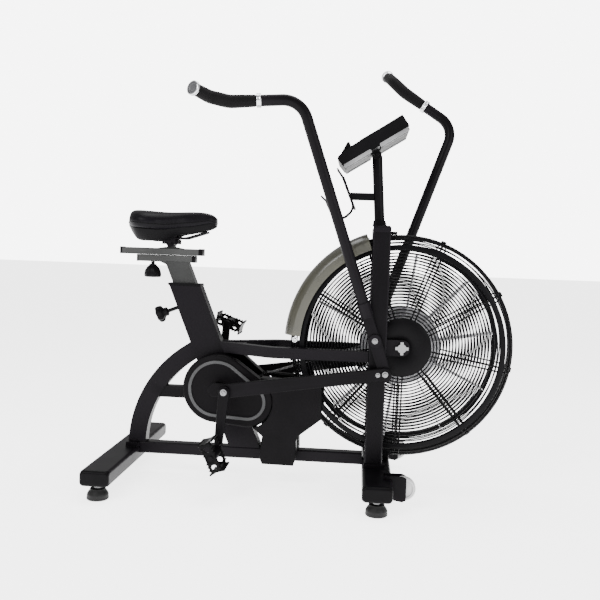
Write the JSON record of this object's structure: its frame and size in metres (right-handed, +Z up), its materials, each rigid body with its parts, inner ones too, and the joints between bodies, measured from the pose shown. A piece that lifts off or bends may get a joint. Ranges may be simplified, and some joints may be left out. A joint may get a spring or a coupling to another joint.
{
  "type": "air bike",
  "caption": "Upright exercise bike with a caged fan, swinging handlebars linked to the pedals, an adjustable saddle and a tilting console.",
  "frame": {"origin": "on the floor, at the centre of the footprint", "axes": "+X toward the fan, +Y toward the rider's left, +Z up"},
  "size_m": [1.22, 0.65, 1.3346],
  "materials": {
    "frame_black": "satin powder coat",
    "cage_black": "satin powder coat",
    "cover_black": "fine matte texture",
    "shroud_dark": "satin",
    "guard_ring": "satin",
    "cap_plastic": "satin",
    "silver_tube": "satin",
    "chrome_trim": "polished",
    "steel": "satin",
    "foam_grip": "fine foam",
    "foot_rubber": "matte",
    "wheel_grey": "satin",
    "saddle_vinyl": "soft satin",
    "console_shell": "satin",
    "console_lens": "gloss",
    "button_grey": "satin",
    "fan_metal": "satin",
    "pedal_plastic": "matte"
  },
  "bodies": {
    "frame": {"base_beam": "frame_black", "rear_stabilizer": "frame_black", "front_stabilizer": "frame_black", "stabilizer_caps": "cap_plastic", "seat_tube": "frame_black", "bearing_shells": "frame_black", "rear_braces": "frame_black", "side_rails": "frame_black", "uprights": "frame_black", "top_bridge": "frame_black", "mast": "frame_black", "tube_collars": "cap_plastic", "fan_axle": "steel", "axle_nuts": "steel", "grille_right": "cage_black", "grille_left": "cage_black", "cage_hoops": "cage_black", "guard_clips": "cap_plastic", "wind_shroud": "shroud_dark", "drive_chains": "steel", "chain_guard": "cover_black", "guard_trim": "guard_ring", "belly_cover": "cover_black", "left_cover": "cover_black", "bottle_cage": "cage_black"},
    "crank": {"crank_axle": "steel", "crank_webs": "frame_black", "pedal_arms": "frame_black"},
    "right_pedal": {"right_pedal": "pedal_plastic"},
    "left_pedal": {"left_pedal": "pedal_plastic"},
    "right_rod": {"right_rod": "frame_black"},
    "left_rod": {"left_rod": "frame_black"},
    "jackshaft": {"jackshaft": "steel"},
    "fan": {"fan_hub": "steel", "fan_blades": "fan_metal"},
    "right_handlebar": {"right_lever": "frame_black", "right_lever_tube": "frame_black", "right_grip": "foam_grip", "right_grip_rings": "chrome_trim"},
    "left_handlebar": {"left_lever": "frame_black", "left_lever_tube": "frame_black", "left_grip": "foam_grip", "left_grip_rings": "chrome_trim"},
    "seat_post": {"seat_post": "silver_tube"},
    "seat_slide": {"slide_bar": "silver_tube"},
    "saddle": {"saddle_clamp": "steel", "saddle_base": "cap_plastic", "saddle_pad": "saddle_vinyl"},
    "slide_knob": {"slide_knob": "cap_plastic"},
    "height_knob": {"height_knob": "cap_plastic"},
    "console": {"console_housing": "console_shell", "console_lens": "console_lens"},
    "start_button": {"start_button": "button_grey"},
    "stop_button": {"stop_button": "button_grey"},
    "right_rear_foot": {"right_rear_foot": "foot_rubber"},
    "left_rear_foot": {"left_rear_foot": "foot_rubber"},
    "right_front_foot": {"right_front_foot": "foot_rubber"},
    "left_front_foot": {"left_front_foot": "foot_rubber"},
    "right_wheel": {"right_wheel": "wheel_grey"},
    "left_wheel": {"left_wheel": "wheel_grey"}
  },
  "joints": [
    {"name": "crank_spin", "type": "hinge", "parent": "frame", "child": "crank", "pos_m": [-0.272, 0, 0.297], "axis": [0, 1, 0], "continuous": true},
    {"name": "jackshaft_spin", "type": "hinge", "parent": "frame", "child": "jackshaft", "pos_m": [-0.182, 0, 0.254], "axis": [0, 1, 0], "continuous": true},
    {"name": "fan_spin", "type": "hinge", "parent": "frame", "child": "fan", "pos_m": [0.274, 0, 0.44], "axis": [0, 1, 0], "continuous": true},
    {"name": "right_pedal_spin", "type": "hinge", "parent": "crank", "child": "right_pedal", "pos_m": [-0.25246, -0.227, 0.12813], "axis": [0, 1, 0], "continuous": true},
    {"name": "right_rod_turn", "type": "hinge", "parent": "crank", "child": "right_rod", "pos_m": [-0.239, -0.145, 0.297], "axis": [0, 1, 0], "continuous": true},
    {"name": "left_pedal_spin", "type": "hinge", "parent": "crank", "child": "left_pedal", "pos_m": [-0.29154, 0.227, 0.46587], "axis": [0, 1, 0], "continuous": true},
    {"name": "left_rod_turn", "type": "hinge", "parent": "crank", "child": "left_rod", "pos_m": [-0.305, 0.145, 0.297], "axis": [0, 1, 0], "continuous": true},
    {"name": "right_lever_swing", "type": "hinge", "parent": "frame", "child": "right_handlebar", "pos_m": [0.1934, -0.13, 0.463], "axis": [0, 1, 0], "range_deg": [0, 38.4]},
    {"name": "left_lever_swing", "type": "hinge", "parent": "frame", "child": "left_handlebar", "pos_m": [0.1934, 0.13, 0.463], "axis": [0, 1, 0], "range_deg": [-38.4, 0]},
    {"name": "seat_height", "type": "slide", "parent": "frame", "child": "seat_post", "axis": [-0.3762, 0, 0.9265], "range_m": [-0.04, 0.12]},
    {"name": "saddle_fore_aft", "type": "slide", "parent": "seat_post", "child": "seat_slide", "axis": [1, 0, 0], "range_m": [-0.04, 0.04]},
    {"name": "saddle_tilt", "type": "hinge", "parent": "seat_slide", "child": "saddle", "pos_m": [-0.444, 0, 0.727], "axis": [0, 1, 0], "range_deg": [-8, 8]},
    {"name": "slide_knob_turn", "type": "hinge", "parent": "seat_post", "child": "slide_knob", "pos_m": [-0.502, 0, 0.64], "axis": [0, 0, 1], "range_deg": [0, 180]},
    {"name": "height_knob_pull", "type": "slide", "parent": "frame", "child": "height_knob", "axis": [-0.9265, 0, -0.3762], "range_m": [0, 0.012], "stiffness_N_per_m": 400},
    {"name": "console_tilt", "type": "hinge", "parent": "frame", "child": "console", "pos_m": [0.181, 0, 1.012], "axis": [0, 1, 0], "range_deg": [-15, 15]},
    {"name": "start_button_press", "type": "slide", "parent": "console", "child": "start_button", "axis": [0.5299, 0, -0.848], "range_m": [0, 0.0015], "stiffness_N_per_m": 300},
    {"name": "stop_button_press", "type": "slide", "parent": "console", "child": "stop_button", "axis": [0.5299, 0, -0.848], "range_m": [0, 0.0015], "stiffness_N_per_m": 300},
    {"name": "right_rear_foot_turn", "type": "hinge", "parent": "frame", "child": "right_rear_foot", "pos_m": [-0.568, -0.284, 0.02], "axis": [0, 0, 1], "continuous": true},
    {"name": "left_rear_foot_turn", "type": "hinge", "parent": "frame", "child": "left_rear_foot", "pos_m": [-0.568, 0.284, 0.02], "axis": [0, 0, 1], "continuous": true},
    {"name": "right_front_foot_turn", "type": "hinge", "parent": "frame", "child": "right_front_foot", "pos_m": [0.213, -0.284, 0.02], "axis": [0, 0, 1], "continuous": true},
    {"name": "left_front_foot_turn", "type": "hinge", "parent": "frame", "child": "left_front_foot", "pos_m": [0.213, 0.284, 0.02], "axis": [0, 0, 1], "continuous": true},
    {"name": "right_wheel_spin", "type": "hinge", "parent": "frame", "child": "right_wheel", "pos_m": [0.2884, -0.2245, 0.062], "axis": [0, 1, 0], "continuous": true},
    {"name": "left_wheel_spin", "type": "hinge", "parent": "frame", "child": "left_wheel", "pos_m": [0.2884, 0.2245, 0.062], "axis": [0, 1, 0], "continuous": true}
  ],
  "couplings": [
    {"joint": "jackshaft_spin", "follows": "crank_spin", "ratio": 3.0909},
    {"joint": "fan_spin", "follows": "crank_spin", "ratio": 7.0248},
    {"joint": "right_rod_turn", "follows": "crank_spin", "ratio": -1},
    {"joint": "left_rod_turn", "follows": "crank_spin", "ratio": -1},
    {"joint": "left_lever_swing", "follows": "right_lever_swing", "ratio": -1}
  ]
}
